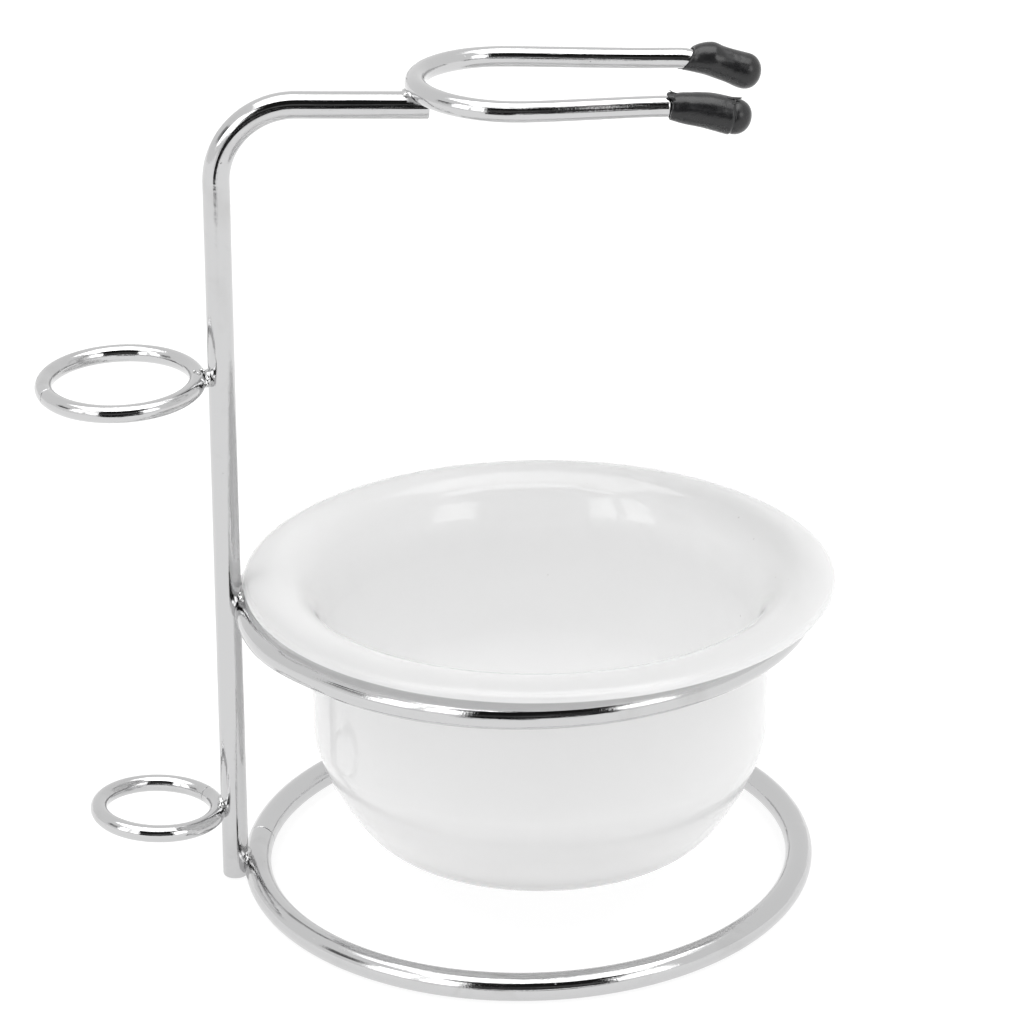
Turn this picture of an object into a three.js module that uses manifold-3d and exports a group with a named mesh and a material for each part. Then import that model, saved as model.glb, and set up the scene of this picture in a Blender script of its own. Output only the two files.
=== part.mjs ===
// A wet-shaving stand of chromed wire with a loose white bowl hanging in its middle ring.
//
// Frame: millimetres, +Z up, the table at z = 0. Everything is laid out round the centre of the base
// ring, with the post on its -X side and the arm running towards +X. At the end the whole stand is
// shifted along X and Y, so that the origin is the middle of its bounding box on the table.

import * as THREE from 'three';
import { mergeVertices } from 'three/addons/utils/BufferGeometryUtils.js';
import Module from 'manifold-3d';

const wasm = await Module();
wasm.setup();

const DEGREE = Math.PI / 180;
const GAP = 0.3; // clearance between neighbouring solids
const FACETS = { wire: 12, cap: 16, bowl: 48, curve: 4 }; // sides of each round shape
const STEPS = { rod: 50, fork: 66 }; // lengths each long wire is divided into

// Wires
const POST_WIRE_R = 2.5;
const FORK_WIRE_R = 1.9;

// Rings: radius of the wire, radius of its centreline, centre of the ring, and tilt in degrees
const RINGS = {
  base_ring: { wireR: 2.6, radius: 52.7, x: 0, z: 2.6, tiltX: 0, tiltY: 0, sides: 12, steps: 56 },
  bowl_ring: { wireR: 2.5, radius: 52.0, x: 1.35, z: 57.5, tiltX: 0, tiltY: 0, sides: 12, steps: 56 },
  upper_holder_ring: {
    wireR: 1.65, radius: 14.1, x: -73.1, z: 103.6, tiltX: 2.0, tiltY: 0.3, sides: 10, steps: 32,
  },
  lower_holder_ring: {
    wireR: 1.65, radius: 11.4, x: -71.3, z: 15.4, tiltX: -2.5, tiltY: 4.4, sides: 10, steps: 32,
  },
};

// Weld beads: half sizes, and how far each sits above its ring's centreline
const WELDS = {
  base_ring: { x: 2.4, y: 3.8, z: 3.4, rise: 1.6 },
  bowl_ring: { x: 2.2, y: 3.8, z: 3.2, rise: -0.3 },
  upper_holder_ring: { x: 2.0, y: 3.0, z: 2.9, rise: 0 },
  lower_holder_ring: { x: 2.0, y: 3.0, z: 2.9, rise: 0.4 },
  fork: { x: 2.9, y: 2.6, z: 1.7 },
};

// Post and arm: one rod with a single bend
const POST_FOOT = { x: -57.1, z: 0.3 };
const POST_LEAN = 1.4 * DEGREE;
const ARM_SAG = 2.5 * DEGREE;
const CORNER_Z = 155.9; // height where the post's and the arm's centrelines would meet
const BEND_R = 14.2;
const ARM_END_FROM_CORNER = 38.1;

// Brush fork, in its own frame: u along the arm, v across it, w up
const FORK = { bendR: 17, pinchEnd: 27, pinchEase: 7, overArm: 4.05, yaw: 1.4 * DEGREE };
const FORK_CENTRE_FROM_ARM_END = 14.7;
const TIP_BEND_R = 7;
const PRONGS = {
  back: { side: 1, halfWidth: 15.5, straight: 32.7, drop: 12.5 * DEGREE, capMouth: 0.2, capLength: 13.7 },
  front: { side: -1, halfWidth: 14.2, straight: 26.8, drop: 8.5 * DEGREE, capMouth: 0.2, capLength: 13.6 },
};

// Push-on caps: a blind tube with a domed end
const CAP = { outerR: 3.1, boreR: 2.2, floor: 1.8, mouthChamfer: 0.3, mouthTaper: 0.8 };

// Bowl, in its own frame: origin at the centre of the rim's widest circle
const BOWL = {
  x: 3.2,
  z: 61.3,
  tiltX: -0.8,
  tiltY: 0.69,
  height: 50.4, // from the widest circle down to the foot
  wall: 2.3,
  footR: 32.2,
  footWidth: 4.4,
  footRecess: 0.8,
  cornerRise: 20.4, // the rounded corner between the foot and the upright body
  cornerEase: { out: 3.2, down: 5.8 },
  floorR: 25.2,
  bodyR: 43.6,
  bodyTop: -12,
  flareR: 45.6, // the flare turns outwards at this radius
  flareEase: 4.6,
  undersideR: 51.8,
  undersideZ: 0.35,
  crestR: 50.6,
  crestZ: 2.1,
  rimR: 55.0,
  rimEdgeR: 0.9,
};

const CHROME = { color: 0xc6c8cb, roughness: 0.08, metalness: 1 };
const WELD = { color: 0xa9abae, roughness: 0.25, metalness: 1 };
const WHITE = { color: 0xeceded, roughness: 0.16, metalness: 0 };
const BLACK = { color: 0x1b1b1c, roughness: 0.5, metalness: 0 };

// ---- Helpers -------------------------------------------------------------------------------------

function namedMesh(name, geometry, look) {
  const mesh = new THREE.Mesh(geometry, new THREE.MeshStandardMaterial(look));
  mesh.name = name;
  return mesh;
}

// A closed regular outline whose flats touch the circle of the given radius, one flat facing down.
function roundOutline(radius, sides) {
  const corner = radius / Math.cos(Math.PI / sides);
  const points = [];
  for (let i = 0; i < sides; i += 1) {
    const angle = ((i + 0.5) / sides) * 2 * Math.PI - Math.PI / 2;
    points.push(new THREE.Vector2(corner * Math.cos(angle), corner * Math.sin(angle)));
  }
  return points;
}

// A round wire along an open curve.
function wireAlong(curve, radius, sides, steps) {
  const section = new THREE.Shape(roundOutline(radius, sides));
  return new THREE.ExtrudeGeometry(section, { steps, extrudePath: curve, bevelEnabled: false });
}

// A closed wire ring about the Z axis, centred on the origin.
function wireRing(ringR, wireR, sides, steps) {
  const outline = roundOutline(wireR, sides);
  const profile = outline.map((p) => new THREE.Vector2(ringR + p.x, p.y));
  profile.push(profile[0].clone());
  return new THREE.LatheGeometry(profile, steps).rotateX(Math.PI / 2);
}

function toSolid(geometry) {
  const bare = geometry.clone();
  bare.deleteAttribute('normal');
  bare.deleteAttribute('uv');
  const merged = mergeVertices(bare, 1e-4);
  return new wasm.Manifold(
    new wasm.Mesh({
      numProp: 3,
      vertProperties: merged.attributes.position.array,
      triVerts: new Uint32Array(merged.index.array),
    }),
  );
}

function toGeometry(solid) {
  const mesh = solid.getMesh();
  const geometry = new THREE.BufferGeometry();
  geometry.setAttribute('position', new THREE.BufferAttribute(mesh.vertProperties, 3));
  geometry.setIndex(new THREE.BufferAttribute(mesh.triVerts, 1));
  geometry.computeVertexNormals();
  return geometry;
}

// The first geometry with every other one cut out of it.
function cutBy(geometry, ...cutters) {
  return toGeometry(cutters.reduce((solid, cutter) => solid.subtract(toSolid(cutter)), toSolid(geometry)));
}

// ---- Centrelines ---------------------------------------------------------------------------------

// A smooth chain of straight lines and arcs, walked at constant speed.
class PiecewiseCurve extends THREE.Curve {
  constructor(pieces) {
    super();
    this.pieces = pieces;
    this.total = pieces.reduce((sum, piece) => sum + piece.length, 0);
  }

  getPoint(t, target = new THREE.Vector3()) {
    let along = t * this.total;
    let index = 0;
    while (index < this.pieces.length - 1 && along > this.pieces[index].length) {
      along -= this.pieces[index].length;
      index += 1;
    }
    return target.copy(this.pieces[index].at(along));
  }
}

function straight(start, direction, length) {
  return { length, at: (s) => start.clone().addScaledVector(direction, s) };
}

// An arc that leaves start along direction and curves towards the unit vector inward.
function arc(start, direction, inward, radius, angle) {
  const centre = start.clone().addScaledVector(inward, radius);
  return {
    length: radius * angle,
    at: (s) => {
      const turned = s / radius;
      return centre
        .clone()
        .addScaledVector(inward, -radius * Math.cos(turned))
        .addScaledVector(direction, radius * Math.sin(turned));
    },
  };
}

const postUp = new THREE.Vector3(Math.sin(POST_LEAN), 0, Math.cos(POST_LEAN));
const armOut = new THREE.Vector3(Math.cos(ARM_SAG), 0, -Math.sin(ARM_SAG));
const postFoot = new THREE.Vector3(POST_FOOT.x, 0, POST_FOOT.z);
const cornerAlongPost = (CORNER_Z - POST_FOOT.z) / postUp.z;
const corner = postFoot.clone().addScaledVector(postUp, cornerAlongPost);

function rodCurve() {
  const turn = postUp.angleTo(armOut);
  const tangent = BEND_R * Math.tan(turn / 2);
  const bendStart = corner.clone().addScaledVector(postUp, -tangent);
  const inward = new THREE.Vector3(postUp.z, 0, -postUp.x);
  const armStart = corner.clone().addScaledVector(armOut, tangent);
  return new PiecewiseCurve([
    straight(postFoot, postUp, cornerAlongPost - tangent),
    arc(bendStart, postUp, inward, BEND_R, turn),
    straight(armStart, armOut, ARM_END_FROM_CORNER - tangent),
  ]);
}

// One prong of the fork from the end of its round bend to the start of its tip, in u, v, w.
function prongPieces(prong) {
  const wide = prong.side * FORK.bendR;
  const narrow = prong.side * prong.halfWidth;
  const pinch = new THREE.CubicBezierCurve3(
    new THREE.Vector3(0, wide, 0),
    new THREE.Vector3(FORK.pinchEase, wide, 0),
    new THREE.Vector3(FORK.pinchEnd - FORK.pinchEase, narrow, 0),
    new THREE.Vector3(FORK.pinchEnd, narrow, 0),
  );
  const ahead = new THREE.Vector3(1, 0, 0);
  const down = new THREE.Vector3(0, 0, -1);
  const straightStart = pinch.getPoint(1);
  const bendStart = straightStart.clone().setX(prong.straight);
  const bend = arc(bendStart, ahead, down, TIP_BEND_R, prong.drop);
  const tipStart = bend.at(bend.length);
  const tipAxis = new THREE.Vector3(Math.cos(prong.drop), 0, -Math.sin(prong.drop));
  const tipLength = prong.capMouth + prong.capLength - CAP.floor - GAP;
  const pinchLength = pinch.getLength();
  return {
    pieces: [
      { length: pinchLength, at: (s) => pinch.getPointAt(Math.min(1, s / pinchLength)) },
      straight(straightStart, ahead, prong.straight - FORK.pinchEnd),
      bend,
      straight(tipStart, tipAxis, tipLength),
    ],
    capMouth: tipStart.clone().addScaledVector(tipAxis, prong.capMouth),
    tipAxis,
  };
}

function reversed(pieces) {
  return [...pieces].reverse().map(({ length, at }) => ({ length, at: (s) => at(length - s) }));
}

function forkCurve(front, back) {
  const uBend = arc(
    new THREE.Vector3(0, -FORK.bendR, 0),
    new THREE.Vector3(-1, 0, 0),
    new THREE.Vector3(0, 1, 0),
    FORK.bendR,
    Math.PI,
  );
  return new PiecewiseCurve([...reversed(front.pieces), uBend, ...back.pieces]);
}

// ---- Pieces --------------------------------------------------------------------------------------

function capGeometry(length) {
  const outline = new THREE.Path();
  const domeBase = length - CAP.outerR;
  outline.moveTo(0, length - CAP.floor);
  outline.lineTo(CAP.boreR, length - CAP.floor);
  outline.lineTo(CAP.boreR, 0);
  outline.lineTo(CAP.outerR - CAP.mouthChamfer, 0);
  outline.lineTo(CAP.outerR, CAP.mouthTaper);
  outline.lineTo(CAP.outerR, domeBase);
  outline.absarc(0, domeBase, CAP.outerR, 0, Math.PI / 2, false);
  const profile = outline.getPoints(FACETS.curve);
  profile.at(-1).x = 0;
  return new THREE.LatheGeometry(profile, FACETS.cap);
}

// The bowl's section from the middle of its underside, round the rim, to the middle of its floor.
function bowlGeometry() {
  const b = BOWL;
  const foot = -b.height;
  const cornerTop = foot + b.cornerRise;
  const innerR = b.bodyR - b.wall;
  const floorTop = foot + b.wall;
  const { out, down } = b.cornerEase;

  const outline = new THREE.Path();
  outline.moveTo(0, foot + b.footRecess);
  outline.lineTo(b.footR - b.footWidth - b.footRecess, foot + b.footRecess);
  outline.lineTo(b.footR - b.footWidth, foot);
  outline.lineTo(b.footR, foot);
  outline.bezierCurveTo(b.footR + out, foot, b.bodyR, cornerTop - down, b.bodyR, cornerTop);
  outline.lineTo(b.bodyR, b.bodyTop);
  outline.bezierCurveTo(b.bodyR, -b.flareEase, b.flareR, -b.undersideZ, b.undersideR, b.undersideZ);
  outline.absarc(b.rimR, 0, b.rimEdgeR, -0.6 * Math.PI, 0.5 * Math.PI, false);
  outline.bezierCurveTo(b.rimR - b.rimEdgeR, b.crestZ, b.crestR + b.rimEdgeR, b.crestZ, b.crestR, b.crestZ);
  outline.bezierCurveTo(b.flareR, b.crestZ, innerR, -out, innerR, b.bodyTop);
  outline.lineTo(innerR, cornerTop);
  outline.bezierCurveTo(innerR, cornerTop - 2 * down, b.floorR + 2 * down, floorTop, b.floorR, floorTop);
  outline.lineTo(0, floorTop);
  return new THREE.LatheGeometry(outline.getPoints(FACETS.curve), FACETS.bowl);
}

// A bead of weld metal round a joint, with the wires it joins cut out of it.
function weldGeometry(centre, size, ...wires) {
  const bead = new THREE.IcosahedronGeometry(1, 2).scale(size.x, size.y, size.z);
  return cutBy(bead.translate(centre.x, centre.y, centre.z), ...wires);
}

function ringGeometry(ring, grown) {
  return wireRing(ring.radius, ring.wireR + grown, ring.sides, ring.steps)
    .rotateX(ring.tiltX * DEGREE)
    .rotateY(ring.tiltY * DEGREE)
    .translate(ring.x, 0, ring.z);
}

// ---- Assembly ------------------------------------------------------------------------------------

const stand = new THREE.Group();

const rod = rodCurve();
const postCutter = wireAlong(rod, POST_WIRE_R + GAP, FACETS.wire, STEPS.rod);
stand.add(namedMesh('post', wireAlong(rod, POST_WIRE_R, FACETS.wire, STEPS.rod), CHROME));

// The rings butt against the post and are pressed a little into it where they are welded.
for (const [name, ring] of Object.entries(RINGS)) {
  stand.add(namedMesh(name, cutBy(ringGeometry(ring, 0), postCutter), CHROME));

  const towardsPost = Math.sign(POST_FOOT.x - ring.x);
  const edge = ring.x + towardsPost * (ring.radius + ring.wireR);
  const size = WELDS[name];
  const centre = { x: edge, y: 0, z: ring.z + size.rise };
  const weld = weldGeometry(centre, size, postCutter, ringGeometry(ring, GAP));
  stand.add(namedMesh(`weld_${name}`, weld, WELD));
}

// The fork lies on top of the arm, tilted with it.
const prongs = { front: prongPieces(PRONGS.front), back: prongPieces(PRONGS.back) };
const forkPath = forkCurve(prongs.front, prongs.back);
const armUp = new THREE.Vector3(Math.sin(ARM_SAG), 0, Math.cos(ARM_SAG));
const forkOrigin = corner
  .clone()
  .addScaledVector(armOut, ARM_END_FROM_CORNER + FORK_CENTRE_FROM_ARM_END)
  .addScaledVector(armUp, FORK.overArm);
const forkPose = new THREE.Matrix4()
  .makeTranslation(forkOrigin)
  .multiply(new THREE.Matrix4().makeRotationY(ARM_SAG))
  .multiply(new THREE.Matrix4().makeRotationZ(FORK.yaw));
const forkWire = (radius) => wireAlong(forkPath, radius, FACETS.wire, STEPS.fork).applyMatrix4(forkPose);
stand.add(namedMesh('fork', cutBy(forkWire(FORK_WIRE_R), postCutter), CHROME));

const crossing = forkOrigin
  .clone()
  .addScaledVector(armOut, -FORK.bendR)
  .addScaledVector(armUp, -FORK_WIRE_R);
const forkWeld = weldGeometry(crossing, WELDS.fork, postCutter, forkWire(FORK_WIRE_R + GAP));
stand.add(namedMesh('weld_fork', forkWeld, WELD));

for (const [name, { capMouth, tipAxis }] of Object.entries(prongs)) {
  const cap = namedMesh(`fork_cap_${name}`, capGeometry(PRONGS[name].capLength), BLACK);
  cap.quaternion.setFromUnitVectors(new THREE.Vector3(0, 1, 0), tipAxis);
  cap.position.copy(capMouth);
  cap.applyMatrix4(forkPose);
  stand.add(cap);
}

const bowl = namedMesh('bowl', bowlGeometry().rotateX(Math.PI / 2), WHITE);
bowl.rotation.set(BOWL.tiltX * DEGREE, BOWL.tiltY * DEGREE, 0);
bowl.position.set(BOWL.x, 0, BOWL.z);
stand.add(bowl);

// The origin is the middle of the stand's bounding box, on the table.
const middle = new THREE.Box3().setFromObject(stand, true).getCenter(new THREE.Vector3());
stand.position.set(-middle.x, -middle.y, 0);

export default stand;
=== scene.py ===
"""A shaving stand of chromed wire with a loose white bowl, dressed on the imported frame.

Shapes are worked out in millimetres in the stand's own axes: the base ring's centre on the table is
the origin, the post is on the -X side, the arm runs towards +X and the viewer is on the -Y side.
"""

import math

import bpy
import numpy as np
from mathutils import Matrix, Vector, noise


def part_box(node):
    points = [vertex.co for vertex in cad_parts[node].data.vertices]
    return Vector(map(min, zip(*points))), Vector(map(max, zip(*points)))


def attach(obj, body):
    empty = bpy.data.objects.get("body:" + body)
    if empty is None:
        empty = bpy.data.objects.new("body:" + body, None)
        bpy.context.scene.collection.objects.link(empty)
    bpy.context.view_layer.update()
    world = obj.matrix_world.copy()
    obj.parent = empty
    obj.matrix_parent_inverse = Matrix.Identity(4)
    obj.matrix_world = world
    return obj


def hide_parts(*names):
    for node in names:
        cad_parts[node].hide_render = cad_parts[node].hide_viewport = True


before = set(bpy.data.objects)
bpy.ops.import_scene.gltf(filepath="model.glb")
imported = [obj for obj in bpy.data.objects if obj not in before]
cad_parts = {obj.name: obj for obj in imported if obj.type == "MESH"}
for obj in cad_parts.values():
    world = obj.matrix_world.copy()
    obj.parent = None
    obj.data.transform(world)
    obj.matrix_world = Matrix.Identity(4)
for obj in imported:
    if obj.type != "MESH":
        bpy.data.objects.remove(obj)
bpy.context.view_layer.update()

DEGREE = math.pi / 180
MM = 0.001

# Wires: radii, how finely they are drawn, and their dents as (depth, size)
POST_WIRE = 2.5
BASE_WIRE = 2.6
BOWL_RING_WIRE = 2.5
HOLDER_WIRE = 1.65
FORK_WIRE = 1.9
WIRE_SIDES = 56
WIRE_STEP = 1.0
END_CHAMFER = 0.35
WIRE_DENTS = ((0.016, 9.0), (0.006, 2.6))

# Rings: tilts in degrees, and how far the bowl ring bulges towards the post, in full up to the
# first angle from it in degrees and not at all past the second
BASE_RING = {"radius": 52.7, "x": 0.0, "z": 2.6, "tilt_x": 0.0, "tilt_y": 0.0}
BOWL_RING = {"radius": 52.0, "x": 1.35, "z": 57.5, "tilt_x": 0.0, "tilt_y": 0.0, "bulge": 1.5}
UPPER_RING = {"radius": 14.1, "x": -73.1, "z": 103.6, "tilt_x": 2.0, "tilt_y": 0.3}
LOWER_RING = {"radius": 11.4, "x": -71.3, "z": 15.4, "tilt_x": -2.5, "tilt_y": 4.4}
BULGE_FULL = 18
BULGE_GONE = 42

# The butt joint in each ring: its groove, and the stations that are drawn close together across it
GROOVE_DEPTH = 0.3
GROOVE_HALF = 0.13
GROOVE_SLANT = 0.5
SEAM_REACH = 1.0
SEAM_STATIONS = 61

# Post and arm
POST_FOOT = (-57.1, 0.3)
POST_LEAN = 1.4 * DEGREE
ARM_SAG = 2.5 * DEGREE
CORNER_Z = 155.9
BEND_R = 14.2
ARM_END = 38.4

# Fork: the round bend, and the stretch over which each prong draws in to its narrow part
FORK_R = 17.0
PINCH_END = 27.0
PINCH_EASE = 7.0
OVER_ARM = 4.05
FORK_YAW = 1.4 * DEGREE
FORK_CENTRE = 14.4
TIP_BEND_R = 7.0
BACK = {"side": 1, "half": 15.5, "straight": 32.7, "drop": 12.5 * DEGREE, "cap": 13.7}
FRONT = {"side": -1, "half": 14.2, "straight": 26.8, "drop": 8.5 * DEGREE, "cap": 13.6}

# Caps: from the start of the straight tip to the mouth, and the room left at the bore's end
CAP_MOUTH = 0.2
CAP_SLACK = 0.3
CAP_FLOOR = 1.8
CAP_R = 3.1
CAP_DOME = CAP_R * 0.96
CAP_BORE = 1.96
CAP_SIDES = 96
CAP_WALL_STEPS = 90
CAP_DOME_STEPS = 16
CAP_DENTS = ((0.045, 2.4, 0), (0.022, 0.9, 2))

# Bowl, about the centre of its widest circle
BOWL_AT = (3.2, 0.0, 61.3)
BOWL_TILT_X = -0.8 * DEGREE
BOWL_TILT_Y = 0.69 * DEGREE
BOWL_HEIGHT = 50.4
BOWL_WALL = 2.3
BODY_R = 43.6
FOOT_R = 32.2
CREST_R = 50.6
CREST_Z = 2.1
RIM_R = 55.0
RIM_EDGE = 0.9
BOWL_SIDES = 256
BOWL_UNEVEN = 0.06


# ---- Where things are ----------------------------------------------------------------------------

base_low, base_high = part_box("base_ring")
ORIGIN = np.array(
    [
        base_high.x - (BASE_RING["radius"] + BASE_WIRE) * MM,
        (base_low.y + base_high.y) / 2,
        base_low.z,
    ]
)


def row(points):
    """Millimetres in the stand's axes to metres in the row's frame."""
    return np.asarray(points, float) * MM + ORIGIN


def rotation(angle, axis):
    return np.array(Matrix.Rotation(angle, 3, axis))


# ---- Meshes --------------------------------------------------------------------------------------


def add_piece(name, points, faces, material, body, node, flow=None):
    """A smooth mesh piece that rides on a body and stands for one CAD node."""
    mesh = bpy.data.meshes.new(name)
    mesh.from_pydata(row(points).tolist(), [], faces)
    mesh.shade_smooth()
    if flow is not None:
        attribute = mesh.attributes.new("flow", "FLOAT_VECTOR", "POINT")
        attribute.data.foreach_set("vector", np.asarray(flow, np.float32).ravel())
    mesh.materials.append(material)
    piece = bpy.data.objects.new(name, mesh)
    bpy.context.scene.collection.objects.link(piece)
    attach(piece, body)
    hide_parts(node)


def grid_faces(rows, columns, closed_rows):
    """Quads over a grid of points whose columns close on themselves."""
    faces = []
    for i in range(rows if closed_rows else rows - 1):
        a = i * columns
        b = (i + 1) % rows * columns
        for j in range(columns):
            k = (j + 1) % columns
            faces.append((a + j, a + k, b + k, b + j))
    return faces


def wobble(point, size, seed):
    """Smooth noise of about -1 to 1, with features of the given size in millimetres."""
    return noise.noise(Vector(point) / size + Vector((seed * 17.3, seed * 5.1, seed * 9.7)))


def frames_along(path, closed, start_normal):
    """Tangents and two normals at each point, carried along without twisting."""
    if closed:
        tangents = np.roll(path, -1, 0) - np.roll(path, 1, 0)
    else:
        tangents = np.gradient(path, axis=0)
    tangents /= np.linalg.norm(tangents, axis=1)[:, None]
    normals = np.empty_like(path)
    normals[0] = start_normal
    for i in range(len(path)):
        before = normals[max(i - 1, 0)]
        normal = before - tangents[i] * before.dot(tangents[i])
        normals[i] = normal / np.linalg.norm(normal)
    return tangents, normals, np.cross(tangents, normals)


def wire_mesh(path, radius, seed, closed=False, start_normal=(0, 0, 1), groove=None):
    """Points, faces and flow coordinates of a round wire along a path."""
    path = np.asarray(path, float)
    frames = frames_along(path, closed, np.array(start_normal, float))
    along = np.r_[0, np.cumsum(np.linalg.norm(np.diff(path, axis=0), axis=1))]
    stations = [(*station, radius, s) for *station, s in zip(path, *frames, along)]
    if not closed:
        stations = chamfered(stations)
    points, flow = [], []
    for centre, _, normal, binormal, r, s in stations:
        for j in range(WIRE_SIDES):
            angle = 2 * math.pi * j / WIRE_SIDES
            out = math.cos(angle) * normal + math.sin(angle) * binormal
            surface = centre + r * out
            dent = 0.0
            for k, (depth, size) in enumerate(WIRE_DENTS):
                dent += depth * wobble(surface, size, seed + k)
            if groove is not None:
                dent -= groove(s, angle)
            points.append(surface + out * dent)
            flow.append((s, r * math.cos(angle), r * math.sin(angle)))
    faces = grid_faces(len(stations), WIRE_SIDES, closed)
    if not closed:
        last = len(points) - WIRE_SIDES
        faces.append(tuple(reversed(range(WIRE_SIDES))))
        faces.append(tuple(range(last, last + WIRE_SIDES)))
    return points, faces, flow


def chamfered(stations):
    """The stations with their two ends cut square and their edges rounded over."""
    steps = 4
    first, last = stations[0], stations[-1]

    def ends(station, sign):
        centre, tangent, normal, binormal, radius, s = station
        rounded = []
        for k in range(steps + 1):
            turn = math.pi / 2 * k / steps
            shrink = END_CHAMFER * (1 - math.cos(turn))
            back = END_CHAMFER * (1 - math.sin(turn))
            place = centre - sign * tangent * back
            rounded.append((place, tangent, normal, binormal, radius - shrink, s - sign * back))
        return rounded

    inner = [st for st in stations if END_CHAMFER * 1.5 < st[5] < last[5] - END_CHAMFER * 1.5]
    return ends(first, -1)[::-1] + inner + ends(last, 1)


# ---- Centrelines ---------------------------------------------------------------------------------


def vec(x, y, z):
    return np.array([x, y, z], float)


def line(start, direction, length):
    count = max(2, int(length / WIRE_STEP))
    return [start + direction * length * i / count for i in range(count)]


def arc(start, direction, inward, radius, angle):
    count = max(4, int(radius * angle / WIRE_STEP * 2))
    centre = start + inward * radius
    points = []
    for i in range(count):
        turn = angle * i / count
        points.append(
            centre - inward * radius * math.cos(turn) + direction * radius * math.sin(turn)
        )
    return points


def arc_end(start, direction, inward, radius, angle):
    return start + inward * radius * (1 - math.cos(angle)) + direction * radius * math.sin(angle)


def bezier(a, b, c, d, count):
    t = np.linspace(0, 1, count, endpoint=False)[:, None]
    a, b, c, d = (np.array(p, float) for p in (a, b, c, d))
    return list((1 - t) ** 3 * a + 3 * t * (1 - t) ** 2 * b + 3 * t * t * (1 - t) * c + t**3 * d)


post_up = vec(math.sin(POST_LEAN), 0, math.cos(POST_LEAN))
arm_out = vec(math.cos(ARM_SAG), 0, -math.sin(ARM_SAG))
arm_up = vec(math.sin(ARM_SAG), 0, math.cos(ARM_SAG))
post_foot = vec(POST_FOOT[0], 0, POST_FOOT[1])
corner_height = (CORNER_Z - POST_FOOT[1]) / post_up[2]
corner = post_foot + post_up * corner_height


def post_path():
    turn = math.acos(post_up.dot(arm_out))
    tangent = BEND_R * math.tan(turn / 2)
    bend = corner - post_up * tangent
    inward = vec(post_up[2], 0, -post_up[0])
    arm_start = corner + arm_out * tangent
    path = line(post_foot, post_up, corner_height - tangent)
    path += arc(bend, post_up, inward, BEND_R, turn)
    path += line(arm_start, arm_out, ARM_END - tangent)
    path.append(corner + arm_out * ARM_END)
    return path


def ring_path(ring, steps, seam_angle):
    """A ring's centreline from +X, finely divided where its ends meet."""
    near_seam = seam_angle + np.linspace(-SEAM_REACH, SEAM_REACH, SEAM_STATIONS) / ring["radius"]
    angles = np.linspace(0, 2 * math.pi, steps, endpoint=False)
    apart = np.abs(angles - seam_angle) * ring["radius"] > SEAM_REACH * 1.05
    angles = np.sort(np.r_[angles[apart], near_seam])
    from_post = np.abs(np.mod(angles, 2 * math.pi) - math.pi) / DEGREE
    near_post = 1 - np.clip((from_post - BULGE_FULL) / (BULGE_GONE - BULGE_FULL), 0, 1)
    radius = ring["radius"] + ring.get("bulge", 0.0) * near_post**2 * (3 - 2 * near_post)
    flat = np.stack([np.cos(angles), np.sin(angles), np.zeros(len(angles))], 1) * radius[:, None]
    turn = rotation(ring["tilt_y"] * DEGREE, "Y") @ rotation(ring["tilt_x"] * DEGREE, "X")
    return flat @ turn.T + vec(ring["x"], 0, ring["z"])


fork_turn = rotation(ARM_SAG, "Y") @ rotation(FORK_YAW, "Z")
fork_centre = corner + arm_out * (ARM_END + FORK_CENTRE) + arm_up * OVER_ARM


def on_fork(points):
    """Fork coordinates, u along the arm, v across it and w up, to the stand's axes."""
    return np.asarray(points, float) @ fork_turn.T + fork_centre


def prong_path(prong):
    """One prong from the round bend on, in fork coordinates, with its tip's start and axis."""
    wide, narrow = prong["side"] * FORK_R, prong["side"] * prong["half"]
    a, b = vec(0, wide, 0), vec(PINCH_EASE, wide, 0)
    c, d = vec(PINCH_END - PINCH_EASE, narrow, 0), vec(PINCH_END, narrow, 0)
    path = bezier(a, b, c, d, 36)
    ahead, down = vec(1, 0, 0), vec(0, 0, -1)
    path += line(d, ahead, prong["straight"] - PINCH_END)
    bend = vec(prong["straight"], narrow, 0)
    path += arc(bend, ahead, down, TIP_BEND_R, prong["drop"])
    tip = arc_end(bend, ahead, down, TIP_BEND_R, prong["drop"])
    axis = vec(math.cos(prong["drop"]), 0, -math.sin(prong["drop"]))
    length = CAP_MOUTH + prong["cap"] - CAP_FLOOR - CAP_SLACK
    path += line(tip, axis, length)
    path.append(tip + axis * length)
    return path, tip, axis


front_path, front_tip, front_axis = prong_path(FRONT)
back_path, back_tip, back_axis = prong_path(BACK)


def fork_path():
    start = vec(0, -FORK_R, 0)
    bend = arc(start, vec(-1, 0, 0), vec(0, 1, 0), FORK_R, math.pi)
    return on_fork(front_path[::-1] + bend[1:] + back_path)


# ---- Materials -----------------------------------------------------------------------------------

CHROME_TINT = 0.55


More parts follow.
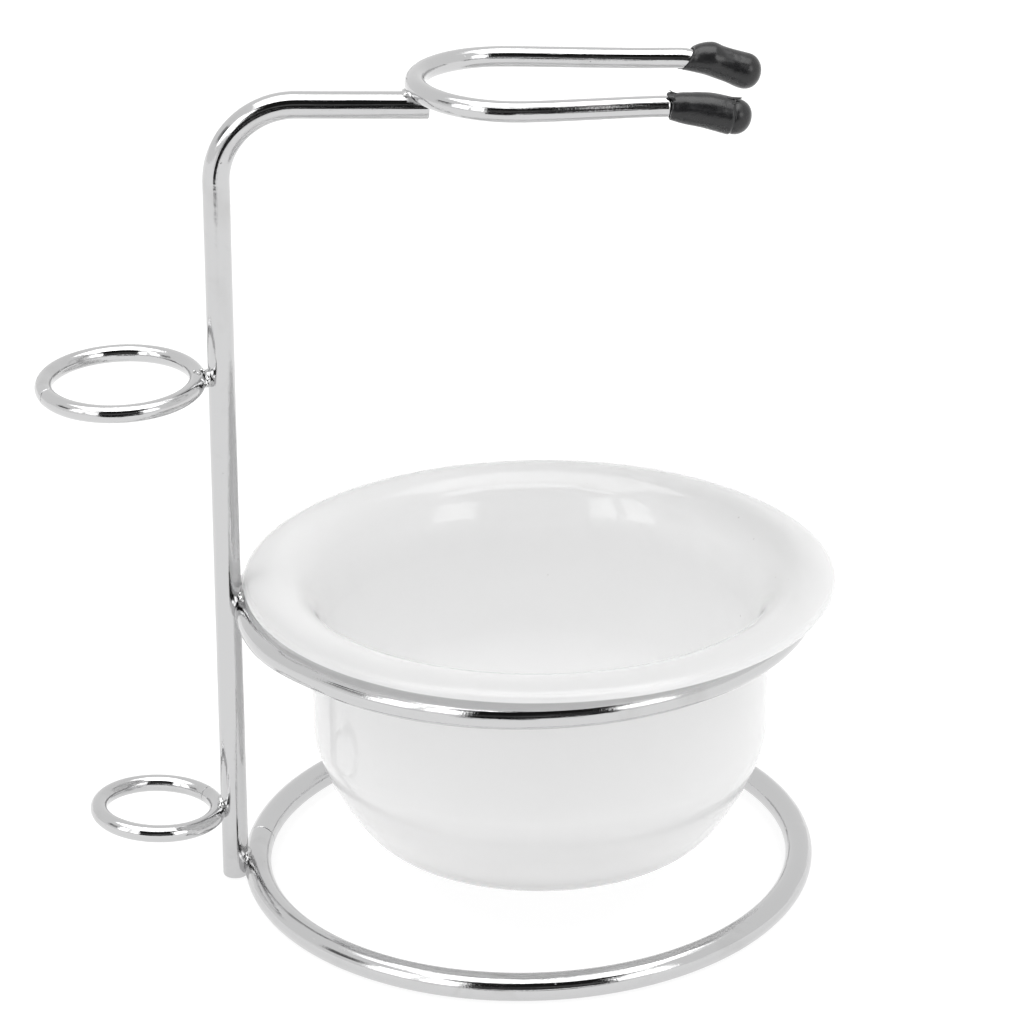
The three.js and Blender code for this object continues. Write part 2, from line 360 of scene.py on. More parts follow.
class Nodes:
    """The node tree of a material or world, with short ways to add nodes and links."""

    def __init__(self, owner):
        self.owner = owner
        owner.use_nodes = True
        self.tree = owner.node_tree
        self.shader = self.tree.nodes.get("Principled BSDF")

    def add(self, kind, inputs=None, **settings):
        node = self.tree.nodes.new(kind)
        for key, value in settings.items():
            setattr(node, key, value)
        for key, value in (inputs or {}).items():
            if isinstance(value, bpy.types.NodeSocket):
                self.tree.links.new(value, node.inputs[key])
            else:
                node.inputs[key].default_value = value
        return node

    def noise(self, vector, scale, detail=2.0, roughness=0.5, distortion=0.0):
        inputs = {
            "Vector": vector,
            "Scale": scale,
            "Detail": detail,
            "Roughness": roughness,
            "Distortion": distortion,
        }
        return self.add("ShaderNodeTexNoise", inputs).outputs["Fac"]

    def cells(self, vector, scale):
        """The distance from scattered points."""
        inputs = {"Vector": vector, "Scale": scale, "Randomness": 1.0}
        return self.add("ShaderNodeTexVoronoi", inputs).outputs["Distance"]

    def remap(self, value, source, target):
        inputs = {
            "Value": value,
            "From Min": source[0],
            "From Max": source[1],
            "To Min": target[0],
            "To Max": target[1],
        }
        return self.add("ShaderNodeMapRange", inputs).outputs["Result"]

    def soft_step(self, value, low, high):
        inputs = {"Value": value, "From Min": low, "From Max": high}
        settings = {"interpolation_type": "SMOOTHSTEP"}
        return self.add("ShaderNodeMapRange", inputs, **settings).outputs["Result"]

    def calc(self, operation, a, b=0.0):
        return self.add("ShaderNodeMath", {0: a, 1: b}, operation=operation).outputs[0]

    def product(self, first, *others):
        for value in others:
            first = self.calc("MULTIPLY", first, value)
        return first

    def total(self, first, *others):
        for value in others:
            first = self.calc("ADD", first, value)
        return first

    def inverse(self, value):
        return self.calc("SUBTRACT", 1.0, value)

    def mapped(self, vector, **inputs):
        return self.add("ShaderNodeMapping", {"Vector": vector, **inputs}).outputs["Vector"]

    def split(self, vector):
        return self.add("ShaderNodeSeparateXYZ", {"Vector": vector}).outputs

    def mix(self, fac, a, b):
        return self.add("ShaderNodeMix", {0: fac, 6: a, 7: b}, data_type="RGBA").outputs[2]

    def drive(self, socket, value):
        self.tree.links.new(value, self.shader.inputs[socket])

    def set(self, socket, value):
        self.shader.inputs[socket].default_value = value

    def bump(self, height, strength, distance, normal=None):
        inputs = {"Height": height, "Strength": strength, "Distance": distance}
        if normal is not None:
            inputs["Normal"] = normal
        return self.add("ShaderNodeBump", inputs).outputs["Normal"]


def grey(value):
    return (value, value, value, 1)


def chrome_material(name, seed):
    """Bright plating on drawn wire: lines along the wire, smudges and a few pits."""
    n = Nodes(bpy.data.materials.new(name))
    place = n.add("ShaderNodeTexCoord").outputs["Object"]
    flow = n.add("ShaderNodeAttribute", attribute_name="flow").outputs["Vector"]
    moved = n.mapped(flow, Location=(seed * 31.0, seed, seed))

    drawn = n.noise(n.mapped(moved, Scale=(0.02, 2.2, 2.2)), scale=1.0, detail=3.0, roughness=0.6)
    smudge = n.noise(place, scale=70.0, detail=4.0, roughness=0.6, distortion=0.5)
    pit = n.remap(n.cells(moved, scale=0.33), (0.02, 0.07), (1.0, 0.0))

    dull = n.total(smudge, n.product(pit, 0.8))
    n.drive("Roughness", n.remap(dull, (0.35, 1.4), (0.035, 0.34)))
    clean = (CHROME_TINT, CHROME_TINT, CHROME_TINT * 1.006, 1)
    worn = (CHROME_TINT * 0.72, CHROME_TINT * 0.71, CHROME_TINT * 0.7, 1)
    n.drive("Base Color", n.mix(n.remap(smudge, (0.55, 0.95), (0.0, 0.7)), clean, worn))
    lines = n.bump(drawn, strength=0.16, distance=0.0003)
    waves = n.noise(place, scale=420.0, detail=3.0, roughness=0.6)
    uneven = n.bump(waves, strength=0.10, distance=0.0002, normal=lines)
    specks = n.noise(place, scale=2600.0, detail=2.0, roughness=0.5)
    grain = n.bump(specks, strength=0.16, distance=0.00005, normal=uneven)
    n.drive("Normal", n.bump(n.inverse(pit), strength=0.35, distance=0.0001, normal=grain))
    n.set("Metallic", 1.0)
    return n.owner


def weld_material():
    """Plated weld metal: lumpy, duller than the wire, dark in places."""
    n = Nodes(bpy.data.materials.new("weld_chrome"))
    place = n.add("ShaderNodeTexCoord").outputs["Object"]
    lumps = n.noise(place, scale=900.0, detail=5.0, roughness=0.6)
    patches = n.noise(place, scale=500.0, detail=3.0, roughness=0.6, distortion=1.0)
    n.drive("Base Color", n.mix(n.remap(patches, (0.42, 0.68), (0.0, 1.0)), grey(0.70), grey(0.30)))
    n.drive("Roughness", n.remap(patches, (0.3, 0.8), (0.08, 0.3)))
    n.drive("Normal", n.bump(lumps, strength=0.35, distance=0.0003))
    n.set("Metallic", 1.0)
    return n.owner


def bowl_material():
    """Glossy white that lets some light through, with scattered dust specks.

    The lip and the outside's low part are a little darker than the rest: painted shade low down
    where the outside faces the table, and painted shade on the lip to offset the light from above.
    """
    n = Nodes(bpy.data.materials.new("white_gloss"))
    place = n.add("ShaderNodeTexCoord").outputs["Object"]
    tone = n.noise(place, scale=25.0, detail=3.0, roughness=0.5)
    speck = n.remap(n.cells(place, scale=180.0), (0.025, 0.05), (1.0, 0.0))
    here = n.remap(n.noise(place, scale=60.0, detail=1.0), (0.60, 0.66), (0.0, 1.0))

    height = n.calc("SUBTRACT", n.split(place)["Z"], ORIGIN[2])
    facing = n.split(n.add("ShaderNodeNewGeometry").outputs["Normal"])["Z"]
    outside = n.remap(facing, (-0.2, 0.05), (1.0, 0.0))
    # Painted shade: the outside's low part, facing down towards the table, is mixed to a darker
    # grey
    low = n.product(n.remap(height, (0.014, 0.032), (1.0, 0.0)), outside)
    # Painted shade: the lip, which takes the light from above, is mixed to a darker grey
    lip = n.remap(height, (0.048, 0.059), (0.0, 1.0))
    even = n.mix(low, n.mix(tone, grey(0.85), grey(0.835)), grey(0.52))
    even = n.mix(lip, even, grey(0.77))
    n.drive("Base Color", n.mix(n.product(speck, here, 0.5), even, (0.45, 0.44, 0.42, 1)))

    smears = n.noise(place, scale=90.0, detail=4.0, roughness=0.6)
    n.drive("Roughness", n.remap(smears, (0.3, 0.8), (0.012, 0.05)))
    n.drive("Normal", n.bump(n.noise(place, scale=55.0), strength=0.04, distance=0.0006))
    n.set("IOR", 1.43)
    n.set("Subsurface Weight", 1.0)
    n.set("Subsurface Radius", (0.013, 0.013, 0.013))
    n.set("Subsurface Scale", 1.0)
    return n.owner


def vinyl_material():
    """Black dipped vinyl: fine grain, scuffs and dusty patches; the lighter scuff patches are
    partly painted highlight.
    """
    n = Nodes(bpy.data.materials.new("black_vinyl"))
    place = n.add("ShaderNodeTexCoord").outputs["Object"]
    grain = n.noise(place, scale=2600.0, detail=3.0, roughness=0.6)
    streaks = n.mapped(place, Scale=(180.0, 700.0, 700.0))
    scuffs = n.noise(streaks, scale=1.0, detail=5.0, roughness=0.65, distortion=0.6)
    dust = n.noise(place, scale=420.0, detail=5.0, roughness=0.7)
    dusty = n.remap(dust, (0.4, 0.7), (0.2, 1.0))
    scuffs_and_painted_highlight = n.product(n.remap(scuffs, (0.56, 0.72), (0.0, 1.0)), dusty)
    # Painted highlight in part: the lighter scuff patches also stand for soft reflections on the
    # vinyl
    n.drive("Base Color", n.mix(scuffs_and_painted_highlight, (0.011, 0.011, 0.012, 1), (0.06, 0.06, 0.062, 1)))
    n.drive("Roughness", n.remap(n.total(dust, scuffs_and_painted_highlight), (0.3, 1.6), (0.24, 0.5)))
    coarse = n.bump(dust, strength=0.16, distance=0.0003)
    n.drive("Normal", n.bump(grain, strength=0.12, distance=0.0001, normal=coarse))
    return n.owner


POST_CHROME = chrome_material("post_chrome", 1)
RING_CHROME = chrome_material("ring_chrome", 2)
FORK_CHROME = chrome_material("fork_chrome", 3)
WELD_CHROME = weld_material()
WHITE_GLOSS = bowl_material()
BLACK_VINYL = vinyl_material()


# ---- Wires ---------------------------------------------------------------------------------------


def add_wire(name, path, radius, seed, material, node, **shape):
    points, faces, flow = wire_mesh(path, radius, seed, **shape)
    add_piece(name, points, faces, material, "stand", node, flow)


def butt_joint(at, angle_shift):
    """The fine groove where a ring's two ends meet, a little off square."""

    def groove(s, angle):
        off = abs(s - at - GROOVE_SLANT * math.sin(angle + angle_shift))
        return GROOVE_DEPTH * max(0.0, 1 - off / GROOVE_HALF)

    return groove


add_wire("post_rod", post_path(), POST_WIRE, 1, POST_CHROME, "post", start_normal=(0, 1, 0))
add_wire("fork_wire", fork_path(), FORK_WIRE, 2, FORK_CHROME, "fork")
for name, ring, wire, steps, seed, seam_angle in (
    ("base_ring", BASE_RING, BASE_WIRE, 360, 3, 169.8 * DEGREE),
    ("bowl_ring", BOWL_RING, BOWL_RING_WIRE, 360, 4, 95 * DEGREE),
    ("upper_holder_ring", UPPER_RING, HOLDER_WIRE, 180, 5, 204 * DEGREE),
    ("lower_holder_ring", LOWER_RING, HOLDER_WIRE, 180, 6, 35 * DEGREE),
):
    path = ring_path(ring, steps, seam_angle)
    seam = butt_joint(ring["radius"] * seam_angle, seed)
    add_wire(name + "_wire", path, wire, seed, RING_CHROME, name, closed=True, groove=seam)


# ---- Weld metal ----------------------------------------------------------------------------------

BALL_SIDES = 24
MELT_VOXEL = 0.16
MELT_SMOOTHING = 6


def ball(centre, radii):
    """A closed ellipsoid as points and faces."""
    points = [centre + vec(0, 0, radii[2])]
    for i in range(1, BALL_SIDES // 2):
        polar = 2 * math.pi * i / BALL_SIDES
        wide, tall = math.sin(polar), math.cos(polar)
        for j in range(BALL_SIDES):
            around = 2 * math.pi * j / BALL_SIDES
            direction = vec(wide * math.cos(around), wide * math.sin(around), tall)
            points.append(centre + direction * np.array(radii))
    points.append(centre - vec(0, 0, radii[2]))
    rings = BALL_SIDES // 2 - 1
    faces = [tuple(1 + k for k in face[::-1]) for face in grid_faces(rings, BALL_SIDES, False)]
    last = len(points) - 1
    last_ring = 1 + (rings - 1) * BALL_SIDES
    for j in range(BALL_SIDES):
        k = (j + 1) % BALL_SIDES
        faces.append((0, 1 + j, 1 + k))
        faces.append((last, last_ring + k, last_ring + j))
    return points, faces


def add_weld(name, node, balls, seed, rough=0.22):
    """Balls of weld metal melted into one bead, with lumps of up to the given height."""
    points, faces = [], []
    for centre, radii in balls:
        more_points, more_faces = ball(np.array(centre, float), radii)
        faces += [tuple(k + len(points) for k in face) for face in more_faces]
        points += more_points
    mesh = bpy.data.meshes.new(name)
    mesh.from_pydata(row(points).tolist(), [], faces)
    piece = bpy.data.objects.new(name, mesh)
    bpy.context.scene.collection.objects.link(piece)
    melt = piece.modifiers.new("melt", "REMESH")
    melt.mode = "VOXEL"
    melt.voxel_size = MELT_VOXEL * MM
    even = piece.modifiers.new("even", "SMOOTH")
    even.iterations = MELT_SMOOTHING
    graph = bpy.context.evaluated_depsgraph_get()
    melted = bpy.data.meshes.new_from_object(piece.evaluated_get(graph))
    piece.modifiers.clear()
    piece.data = melted
    bpy.data.meshes.remove(mesh)
    for vertex in melted.vertices:
        at = (vertex.co - Vector(ORIGIN)) / MM
        lift = rough * wobble(at, 1.3, seed) + 0.4 * rough * wobble(at, 0.55, seed + 3)
        vertex.co += vertex.normal * lift * MM
    melted.shade_smooth()
    melted.materials.append(WELD_CHROME)
    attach(piece, "stand")
    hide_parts(node)


def post_x(z):
    return POST_FOOT[0] + (z - POST_FOOT[1]) * math.tan(POST_LEAN)


def ring_weld(name, ring, wire, seed, side, lift=0.0, extra=()):
    """A bead in the crease on both sides of a ring where it meets the post, and more balls by it.

    The ring is on the post's +X or -X side, and the bead may sit higher than the ring's middle.
    """
    z = ring["z"]
    touch = post_x(z) + side * (POST_WIRE - 0.2)
    balls = []
    # Three shrinking balls on each side, each further out and lower than the one before
    for sign in (-1, 1):
        for k, size in ((0, 1.0), (1, 0.85), (2, 0.6)):
            high = z + lift + (0.25 - 0.2 * k) * wire
            spot = (touch + side * 0.25 * k, sign * (1.0 + 0.65 * k), high)
            balls.append((spot, (0.75 * size, 0.8 * size, 0.62 * wire * size)))
    balls.append(((touch, 0, z + wire * 0.75), (0.9, 1.6, 0.7)))
    balls.append(((touch, 0, z - wire * 0.45), (0.8, 1.5, 0.7)))
    balls += [((touch + x, y, z + lift + up), radii) for x, y, up, radii in extra]
    add_weld(name + "_bead", name, balls, seed)


# Balls beside a bead: a thin spike that stands up from it, and drops that lie on the ring
spike = []
for k in range(6):
    thin = 0.03 * k
    spike.append((0.1 + 0.05 * k, 0.8, 1.2 + 0.6 * k, (0.32 - thin, 0.3 - thin, 0.55)))
spatter = [
    (-1.9, -1.0, 1.5, (0.5, 0.45, 0.4)),
    (-2.6, 0.2, 1.55, (0.4, 0.4, 0.32)),
    (-1.3, 0.9, 1.5, (0.55, 0.5, 0.4)),
]
ring_weld("weld_base_ring", BASE_RING, BASE_WIRE, 11, 1, lift=0.6)
ring_weld("weld_bowl_ring", BOWL_RING, BOWL_RING_WIRE, 12, 1, lift=1.3, extra=spike)
ring_weld("weld_upper_holder_ring", UPPER_RING, HOLDER_WIRE, 13, -1, extra=spatter)
ring_weld("weld_lower_holder_ring", LOWER_RING, HOLDER_WIRE, 14, -1)

crossing = fork_centre - arm_out * FORK_R - arm_up * (FORK_WIRE - 0.1)
fork_balls = [
    (crossing + vec(du, dv, dw), radii)
    for du, dv, dw, radii in (
        (-1.5, 0.9, 0.15, (0.9, 0.9, 0.5)),
        (-1.5, -0.9, 0.15, (0.9, 0.9, 0.5)),
        (1.3, 1.0, 0.1, (0.8, 0.8, 0.45)),
        (1.2, -1.0, 0.1, (0.8, 0.8, 0.45)),
        (0.0, 0.0, 0.0, (1.9, 1.5, 0.45)),
    )
]
add_weld("weld_fork_bead", "weld_fork", fork_balls, 15, rough=0.15)


# ---- Caps ----------------------------------------------------------------------------------------


def sliver(root, along, out, length, width, thick, curl):
    """A thin torn flap of vinyl: a tapering, curling strip with a rounded tip."""
    steps, points = 8, []
    side = np.cross(along, out)
    for i in range(steps + 1):
        t = i / steps
        turn = curl * t
        ahead, away = length * math.sin(turn) / curl, length * (1 - math.cos(turn)) / curl
        spine = root + along * ahead + out * away
        up = out * math.cos(turn) - along * math.sin(turn)
        half = width / 2 * math.sqrt(max(0.02, 1 - t**2.2))
        deep = thick / 2 * (1 - 0.6 * t)
        corners = ((-1, -1), (1, -1), (1, 1), (-1, 1))
        points += [spine + side * half * a + up * deep * b for a, b in corners]
    faces = grid_faces(steps + 1, 4, False)
    last = 4 * steps
    faces += [(3, 2, 1, 0), (last, last + 1, last + 2, last + 3)]
    return points, faces


def cap_piece(name, node, body, prong, tip, axis, seed, shape):
    """A dipped vinyl cap: thin where it grips the wire, humped on top, with torn edges."""
    length = prong["cap"]
    up = vec(math.sin(prong["drop"]), 0, math.cos(prong["drop"]))
    across = vec(0, 1, 0)
    mouth = tip + axis * CAP_MOUTH
    dome_from = length - CAP_DOME
    top_s, top_r = np.array(shape["top"], float).T
    low_s, low_r = np.array(shape["low"], float).T
    nearby = np.linspace(-0.5, 0.5, 5)

    def outer(s, angle):
        """The radius between the top's and the underside's, averaged over the places nearby.

        A groove runs round just before the dome, which is a little narrower than the wall.
        """
        top = np.interp(s + nearby, top_s, top_r).mean()
        low = np.interp(s + nearby, low_s, low_r).mean()
        blend = (1 + math.cos(angle)) / 2
        seam = shape["seam"] * math.exp(-(((s - dome_from + 0.5) / 0.2) ** 2))
        seam += 0.4 * shape["seam"] * (s > dome_from - 0.5)
        return low + (top - low) * blend**1.3 - seam

    def ragged(angle):
        """How far the torn mouth is from its middle place."""
        jag = 0.12 * wobble((3 * math.cos(angle), 3 * math.sin(angle), seed), 1.1, seed)
        return jag - shape["back"] + shape["slant"] * math.cos(angle)

    def at(s, radius, angle, rough=1.0):
        out = math.cos(angle) * up + math.sin(angle) * across
        point = mouth + axis * s + out * radius
        spot = on_fork([point])[0]
        dent = 0.0
        for depth, size, shift in CAP_DENTS:
            dent += depth * wobble(spot, size, seed + shift)
        return point + out * (dent + 0.02) * rough

    # Rings of points: up the bore, round the mouth's edge, along the wall and over the dome
    turns = [2 * math.pi * j / CAP_SIDES for j in range(CAP_SIDES)]
    bore_end = length - CAP_FLOOR
    rings = [[at(s, CAP_BORE, a, 0) for a in turns] for s in (bore_end, bore_end / 2)]
    hug, edge = CAP_BORE + 0.06, 0.18
    for behind, share in ((0.5, 0.0), (0.1, 0.1), (0.0, 0.5), (edge, 1.0)):
        ring = []
        for a in turns:
            s = ragged(a) + behind
            ring.append(at(s, hug + (outer(s, a) - hug) * share, a, share))
        rings.append(ring)
    for i in range(1, CAP_WALL_STEPS + 1):
        ring = []
        for a in turns:
            start = ragged(a) + edge
            s = start + (dome_from - start) * i / CAP_WALL_STEPS
            ring.append(at(s, outer(s, a), a))
        rings.append(ring)
    for i in range(1, CAP_DOME_STEPS):
        turn = math.pi / 2 * i / CAP_DOME_STEPS
        s = dome_from + (length - dome_from) * math.sin(turn)
        shrink = math.cos(turn) ** 0.9
        rings.append([at(s, shrink * outer(s, a), a, shrink) for a in turns])
    points = [p for ring in rings for p in ring]
    faces = [face[::-1] for face in grid_faces(len(rings), CAP_SIDES, False)]
    points += [mouth + axis * bore_end, mouth + axis * length]
    inner_hub, outer_hub = len(points) - 2, len(points) - 1
    last = (len(rings) - 1) * CAP_SIDES
    for j in range(CAP_SIDES):
        k = (j + 1) % CAP_SIDES
        faces.append((inner_hub, j, k)[::-1])
        faces.append((outer_hub, last + k, last + j)[::-1])
    for flap in shape["flaps"]:
        out = math.cos(flap["angle"]) * up + math.sin(flap["angle"]) * across
        root = mouth + axis * flap["s"] + out * (outer(flap["s"], flap["angle"]) - 0.1)
        more_points, more_faces = sliver(root, axis * flap["way"], out, *flap["size"])
        faces += [tuple(k + len(points) for k in face) for face in more_faces]
        points += more_points
    add_piece(name, on_fork(points), faces, BLACK_VINYL, body, node)


# Each cap's own faults: the radius of its top and of its underside, as (distance from the mouth,
# radius), the depth of the groove before the dome, how far back and how slanted the mouth is, and
# its torn flaps, with their place, direction and (length, width, thickness, curl)
BACK_CAP = {
    "top": [
        (-0.5, 2.12),
        (0.1, 2.3),
        (0.6, 2.8),
        (1.6, 3.38),
        (2.8, 3.83),
        (3.9, 4.1),
        (4.6, 3.98),
        (5.6, 3.68),
        (7.3, 3.5),
        (10.6, 3.38),
    ],
    "low": [(-0.5, 2.12), (3.4, 2.14), (5.8, 2.43), (7.8, 2.73), (9.6, 3.15), (10.6, 3.26)],
    "seam": 0.0,
    "back": 0.25,
    "slant": 0.55,
    "flaps": [
        {"s": -0.6, "angle": 0.93 * math.pi, "way": -1, "size": (0.9, 0.8, 0.22, 0.9)},
    ],
}
FRONT_CAP = {
    "top": [
        (-1.0, 2.15),
        (-0.4, 2.3),
        (0.4, 2.67),
        (1.5, 2.8),
        (3.3, 3.08),
        (5.5, 3.33),
        (6.5, 3.35),
        (8.0, 3.25),
        (9.4, 3.09),
        (10.6, 3.05),
    ],
    "low": [
        (-1.0, 2.35),
        (1.1, 2.69),
        (3.3, 2.84),
        (5.45, 3.0),
        (7.6, 3.27),
        (9.8, 3.56),
        (10.6, 3.45),
    ],
    "seam": 0.2,
    "back": 1.05,
    "slant": -0.1,
    "flaps": [
        {"s": -0.7, "angle": -0.3, "way": -1, "size": (1.5, 2.2, 0.3, 0.25)},
        {"s": -0.2, "angle": 0.25, "way": -1, "size": (1.5, 0.8, 0.25, 0.6)},
        {"s": 8.6, "angle": -0.15, "way": 1, "size": (2.6, 0.8, 0.3, 0.3)},
        {"s": 9.3, "angle": -0.6, "way": 1, "size": (0.9, 0.5, 0.22, 0.3)},
    ],
}
for end, prong, tip, axis, seed, shape in (
    ("back", BACK, back_tip, back_axis, 21, BACK_CAP),
    ("front", FRONT, front_tip, front_axis, 22, FRONT_CAP),
):
    names = (f"cap_{end}_vinyl", f"fork_cap_{end}", f"cap_{end}")
    cap_piece(*names, prong, tip, axis, seed, shape)


# ---- Bowl ----------------------------------------------------------------------------------------


def bowl_profile():
    """Radius and height from the underside's middle, round the rim, to the floor's middle."""
    foot, inner = -BOWL_HEIGHT, BODY_R - BOWL_WALL
    corner_top, floor_top, recess = foot + 20.4, foot + BOWL_WALL, foot + 0.8
    flare, flare_r = -12, 51.8

    # Underside, with a shallow ring foot
    profile = [(r, recess) for r in (0.0, 6.0, 12.0, 18.0, 24.0)]
    profile += bezier((26.2, recess), (27.0, recess), (27.2, foot + 0.05), (28.2, foot), 8)
    profile += [(29.5, foot), (31.0, foot)]

    # Outside: rounded corner, upright wall and flare
    low_corner = ((FOOT_R, foot), (FOOT_R + 3.2, foot), (BODY_R, corner_top - 5.8))
    profile += bezier(*low_corner, (BODY_R, corner_top), 40)
    profile += [(BODY_R, z) for z in np.linspace(corner_top, flare, 10, endpoint=False)]
    profile += bezier((BODY_R, flare), (BODY_R, -4.4), (45.6, 0.1), (flare_r, 0.3), 28)

    # Rim and crest of the lip
    profile += bezier((flare_r, 0.3), (53.0, 0.34), (53.9, -0.55), (RIM_R, -0.75), 10)
    for turn in np.linspace(-0.45 * math.pi, 0.42 * math.pi, 14):
        edge = RIM_EDGE * 0.95 * math.sin(turn) + 0.06
        profile.append((RIM_R + RIM_EDGE * math.cos(turn), edge))
    profile += bezier((55.2, 0.93), (54.2, 1.55), (CREST_R + 1.5, CREST_Z), (CREST_R, CREST_Z), 14)

    # Inside: lip, upright wall, rounded corner and floor
    profile += bezier((CREST_R, CREST_Z), (45.6, CREST_Z), (inner, -3.2), (inner, flare), 100)
    profile += [(inner, z) for z in np.linspace(flare, corner_top, 10, endpoint=False)]
    low_corner = ((inner, corner_top), (inner, corner_top - 11.6), (36.8, floor_top))
    profile += bezier(*low_corner, (25.2, floor_top), 40)
    profile += [(r, floor_top) for r in (25.2, 20.0, 14.0, 8.0, 3.0)]
    return profile


def add_bowl():
    """The profile turned round its axis, a little out of round, and tilted in its ring."""
    turn = rotation(BOWL_TILT_X, "X") @ rotation(BOWL_TILT_Y, "Y")
    profile = bowl_profile()
    points = []
    for radius, height in profile[1:]:
        for j in range(BOWL_SIDES):
            around = 2 * math.pi * j / BOWL_SIDES
            spot = Vector((1.2 * math.cos(around), 1.2 * math.sin(around), height / 30))
            r = radius + BOWL_UNEVEN * noise.noise(spot)
            points.append((r * math.cos(around), r * math.sin(around), height))
    points += [(0, 0, profile[0][1]), (0, 0, profile[-1][1])]
    under, floor = len(points) - 2, len(points) - 1
    rows = len(profile) - 1
    last_ring = (rows - 1) * BOWL_SIDES
    faces = grid_faces(rows, BOWL_SIDES, False)
    for j in range(BOWL_SIDES):
        k = (j + 1) % BOWL_SIDES
        faces.append((under, k, j))
        faces.append((floor, last_ring + j, last_ring + k))
    placed = np.array(points) @ turn.T + np.array(BOWL_AT)
    add_piece("bowl_white", placed, faces, WHITE_GLOSS, "bowl", "bowl")


add_bowl()


# ---- Set -----------------------------------------------------------------------------------------

# Planes in metres: the table, and the dark floor beyond it, which only reflections see
TABLE_HALF = 6.0
TABLE = {
    "corners": [(x * TABLE_HALF, y * TABLE_HALF) for x, y in ((-1, -1), (1, -1), (1, 1), (-1, 1))],
    "height": -0.0001,
    "tone": 0.3,
    "glow": 0.84,
}
DARK_ROOM = {
    "corners": [
        (-2.8, -5.0),
        (2.6, -5.0),
        (0.45, -0.90),
        (0.04, -0.85),
        (-0.02, -0.42),
        (-0.24, -0.42),
    ],
    "height": 0.0005,
    "tone": 0.01,
    "glow": 0.0,
}

# Brightness of the surroundings, and what reflections see on top of it
WALLS = 0.56
WALLS_IN_GLOSS = 0.42
LAMP = 1.7
LAMP_IN_GLOSS = 0.9
WINDOWS_IN_GLOSS = 2.4
DARK = 0.012
DIM_BAND = 0.10
DOORWAY = 0.9

# Their edges in degrees, as (from, to, softness). Frontal is the height over the viewer's side.
LAMP_FRONTAL = (57, 112, 5)
LAMP_ABOVE = (38, 48)
LAMP_ENDS = (28, 33)
DARK_BELOW = (57, 60)
DARK_HALF = (27, 30)
BAND_HEIGHT = (12, 25, 4)
DOORWAY_AZIMUTH = (-94, -70, 5)
DOORWAY_HEIGHT = (15, 32, 3)
WINDOWS = (
    ((28, 53, 2), (10, 37, 2)),
    ((-46, -30, 2), (10, 43, 2)),
    ((-69, -49, 2), (10, 43, 2)),
)

# Camera: place in millimetres, angles in degrees, lens in millimetres
CAMERA_AT = (-40.346, -635.863, 351.960)
CAMERA_YAW = -3.478
CAMERA_PITCH = 23.56
CAMERA_ROLL = 1.272
CAMERA_LENS = 130.2
CAMERA_SENSOR = 36


def add_plane(name, look, corners, height, tone, glow):
    """A level matt plane of the set."""
    mesh = bpy.data.meshes.new(name)
    mesh.from_pydata([(x, y, height) for x, y in corners], [], [tuple(range(len(corners)))])
    n = Nodes(bpy.data.materials.new(look))
    n.set("Base Color", grey(tone))
    n.set("Emission Color", grey(1.0))
    n.set("Emission Strength", glow)
    n.set("Roughness", 0.9)
    n.set("Specular IOR Level", 0.0)
    mesh.materials.append(n.owner)
    plane = bpy.data.objects.new(name, mesh)
    bpy.context.scene.collection.objects.link(plane)
    return plane


def add_floor():
    """A wide pale table under everything, and the dark floor in front of it."""
    add_plane("table", "pale_table", **TABLE)
    dark = add_plane("dark_room", "dark_room", **DARK_ROOM)
    dark.visible_camera = False
    dark.visible_diffuse = False
    dark.visible_shadow = False


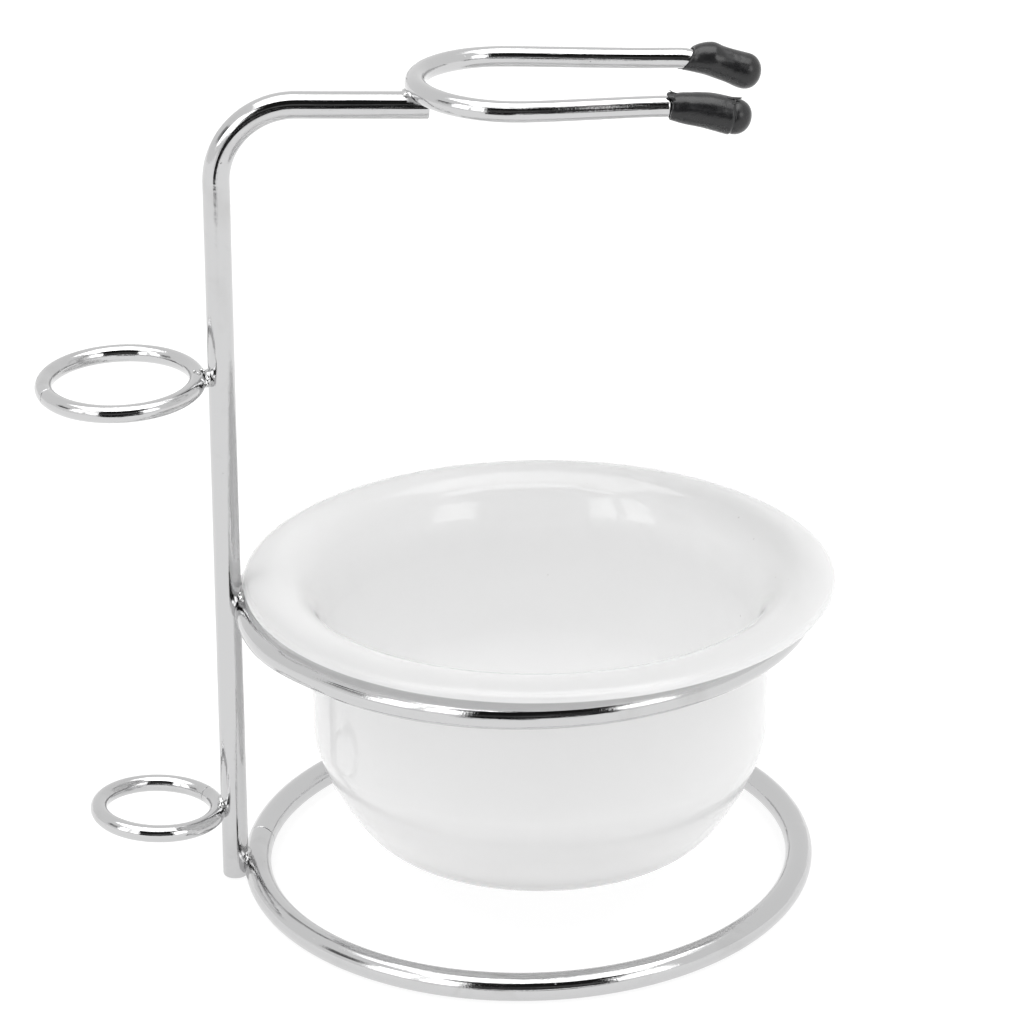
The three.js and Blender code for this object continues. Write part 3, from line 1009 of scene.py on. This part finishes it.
def studio_world():
    """Soft white surroundings; reflections also see the dark side of the room behind the viewer."""
    n = Nodes(bpy.data.worlds.new("studio"))
    bpy.context.scene.world = n.owner
    n.tree.nodes.clear()

    def edge(value, low, high):
        return n.soft_step(value, low * DEGREE, high * DEGREE)

    def between(value, low, high, soft):
        return n.product(edge(value, low, low + soft), n.inverse(edge(value, high - soft, high)))

    way = n.split(n.add("ShaderNodeTexCoord").outputs["Generated"])
    front = n.product(way["Y"], -1.0)
    elevation = n.calc("ARCSINE", way["Z"])
    azimuth = n.calc("ARCTAN2", way["X"], front)
    frontal = n.calc("ARCTAN2", way["Z"], front)
    aside = n.calc("ABSOLUTE", n.calc("ARCSINE", way["X"]))
    ray = n.add("ShaderNodeLightPath").outputs
    glossy = ray["Is Glossy Ray"]

    # A bright soft box over the object reaches down in front of it; reflections show its two ends.
    lamp = n.product(between(frontal, *LAMP_FRONTAL), edge(elevation, *LAMP_ABOVE))
    lamp = n.product(lamp, n.inverse(n.product(glossy, edge(aside, *LAMP_ENDS))))
    lamp = n.product(lamp, n.total(LAMP, n.product(glossy, LAMP_IN_GLOSS)))
    level = n.total(WALLS, n.product(glossy, WALLS_IN_GLOSS), lamp)

    # Below it the viewer's side of the room is dark, with a dim band across the middle, and so is
    # a doorway on the left.
    gloom = n.product(n.inverse(edge(aside, *DARK_HALF)), n.inverse(edge(frontal, *DARK_BELOW)))
    doorway = n.product(between(azimuth, *DOORWAY_AZIMUTH), between(elevation, *DOORWAY_HEIGHT))
    gloom = n.product(n.calc("MAXIMUM", gloom, n.product(DOORWAY, doorway)), glossy)
    dim = n.total(DARK, n.product(between(elevation, *BAND_HEIGHT), DIM_BAND))
    level = n.total(n.product(level, n.inverse(gloom)), n.product(gloom, dim))

    # Windows beside the dark part show in the bowl's gloss.
    panes = [
        n.product(between(azimuth, *azimuths), between(elevation, *heights))
        for azimuths, heights in WINDOWS
    ]
    level = n.total(level, n.product(n.total(*panes), WINDOWS_IN_GLOSS, glossy))

    room = n.add("ShaderNodeBackground", {"Color": grey(1.0), "Strength": level}).outputs[0]
    plain = n.add("ShaderNodeBackground", {"Color": grey(1.0), "Strength": 1.0}).outputs[0]
    shown = {0: ray["Is Camera Ray"], 1: room, 2: plain}
    mixed = n.add("ShaderNodeMixShader", shown).outputs[0]
    n.add("ShaderNodeOutputWorld", {"Surface": mixed})


def add_camera():
    """Above and in front, turned a little to the right, on a long lens."""
    yaw, pitch, roll = (angle * DEGREE for angle in (CAMERA_YAW, CAMERA_PITCH, CAMERA_ROLL))
    flat = math.cos(pitch)
    ahead = vec(-math.sin(yaw) * flat, math.cos(yaw) * flat, -math.sin(pitch))
    level = vec(math.cos(yaw), math.sin(yaw), 0)
    down = np.cross(ahead, level)
    right = math.cos(roll) * level + math.sin(roll) * down
    lower = -math.sin(roll) * level + math.cos(roll) * down
    data = bpy.data.cameras.new("camera")
    data.sensor_width = CAMERA_SENSOR
    data.lens = CAMERA_LENS
    camera = bpy.data.objects.new("camera", data)
    bpy.context.scene.collection.objects.link(camera)
    turn = Matrix((right, -lower, -ahead)).transposed().to_4x4()
    camera.matrix_world = Matrix.Translation(Vector(row(CAMERA_AT))) @ turn
    bpy.context.scene.camera = camera


add_floor()
studio_world()
add_camera()
bpy.context.scene.view_settings.view_transform = "Standard"
